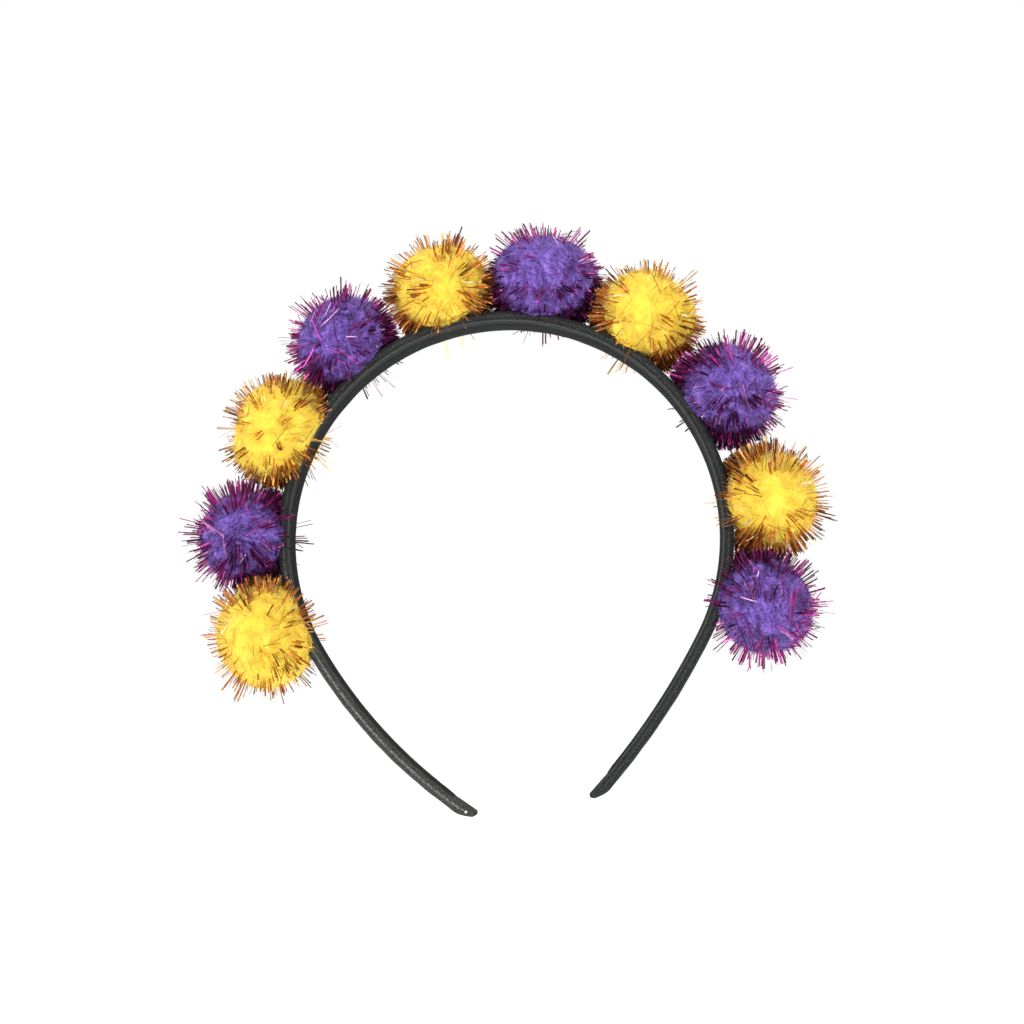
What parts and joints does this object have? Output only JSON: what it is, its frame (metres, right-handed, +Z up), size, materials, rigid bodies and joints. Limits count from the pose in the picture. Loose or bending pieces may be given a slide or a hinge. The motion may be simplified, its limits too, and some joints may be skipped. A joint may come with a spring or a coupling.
{
  "type": "pom-pom hair band",
  "caption": "Springy fabric-wrapped hair band worn over the crown of the head, with fluffy yellow and purple balls of fibre and metallic tinsel along its outer face.",
  "frame": {"origin": "centre of the head circle, the circle that the lining's inner face follows round the crown, half way across the band's width", "axes": "+Z up to the crown as worn, X from ear to ear, +Y towards the back of the head along the head circle's axis"},
  "size_m": [0.1973, 0.0425, 0.1837],
  "materials": {
    "core_plastic": "moulded polypropylene strip, hidden in the wrap",
    "wrap_satin": "black satin ribbon with a fine speckled weave and slight fuzz",
    "lining_ribbon": "black woven ribbon with raised selvedges",
    "pile_yellow": "soft yellow acrylic fibre, trimmed to a ball",
    "pile_purple": "soft violet acrylic fibre, trimmed to a ball",
    "tinsel_gold": "metallised film strips, gold to copper",
    "tinsel_magenta": "metallised film strips, magenta to pink",
    "tie_thread": "twisted binding thread",
    "hot_glue": "set hot-melt glue, milky"
  },
  "bodies": {
    "left_leg": {"core_left_leg": "core_plastic", "wrap_left_leg": "wrap_satin", "lining_left_leg": "lining_ribbon", "glue_left_leg": "hot_glue", "pile_01": "pile_yellow", "tinsel_01": "tinsel_gold", "tie_01": "tie_thread", "pile_02": "pile_purple", "tinsel_02": "tinsel_magenta", "tie_02": "tie_thread", "end_tab_left": "wrap_satin", "glue_bead_left": "hot_glue"},
    "left_shoulder": {"core_left_shoulder": "core_plastic", "wrap_left_shoulder": "wrap_satin", "lining_left_shoulder": "lining_ribbon", "glue_left_shoulder": "hot_glue", "pile_03": "pile_yellow", "tinsel_03": "tinsel_gold", "tie_03": "tie_thread"},
    "crown": {"core_crown": "core_plastic", "wrap_crown": "wrap_satin", "lining_crown": "lining_ribbon", "glue_crown": "hot_glue", "pile_04": "pile_purple", "tinsel_04": "tinsel_magenta", "tie_04": "tie_thread", "pile_05": "pile_yellow", "tinsel_05": "tinsel_gold", "tie_05": "tie_thread", "pile_06": "pile_purple", "tinsel_06": "tinsel_magenta", "tie_06": "tie_thread", "pile_07": "pile_yellow", "tinsel_07": "tinsel_gold", "tie_07": "tie_thread"},
    "right_shoulder": {"core_right_shoulder": "core_plastic", "wrap_right_shoulder": "wrap_satin", "lining_right_shoulder": "lining_ribbon", "glue_right_shoulder": "hot_glue", "pile_08": "pile_purple", "tinsel_08": "tinsel_magenta", "tie_08": "tie_thread"},
    "right_leg": {"core_right_leg": "core_plastic", "wrap_right_leg": "wrap_satin", "lining_right_leg": "lining_ribbon", "glue_right_leg": "hot_glue", "pile_09": "pile_yellow", "tinsel_09": "tinsel_gold", "tie_09": "tie_thread", "pile_10": "pile_purple", "tinsel_10": "tinsel_magenta", "tie_10": "tie_thread", "end_tab_right": "wrap_satin"}
  },
  "joints": [
    {"name": "left_bend_upper", "type": "hinge", "parent": "crown", "child": "left_shoulder", "pos_m": [-0.05133, 0, 0.04141], "axis": [0, 1, 0], "range_deg": [-4, 10], "stiffness_Nm_per_rad": 1.2},
    {"name": "left_bend_lower", "type": "hinge", "parent": "left_shoulder", "child": "left_leg", "pos_m": [-0.06426, 0, 0.01484], "axis": [0, 1, 0], "range_deg": [-4, 10], "stiffness_Nm_per_rad": 1},
    {"name": "right_bend_upper", "type": "hinge", "parent": "crown", "child": "right_shoulder", "pos_m": [0.04704, 0, 0.04623], "axis": [0, -1, 0], "range_deg": [-4, 10], "stiffness_Nm_per_rad": 1.2},
    {"name": "right_bend_lower", "type": "hinge", "parent": "right_shoulder", "child": "right_leg", "pos_m": [0.06193, 0, 0.02266], "axis": [0, -1, 0], "range_deg": [-4, 10], "stiffness_Nm_per_rad": 1}
  ],
  "couplings": [
    {"joint": "left_bend_lower", "follows": "left_bend_upper", "ratio": 1},
    {"joint": "right_bend_lower", "follows": "right_bend_upper", "ratio": 1}
  ]
}
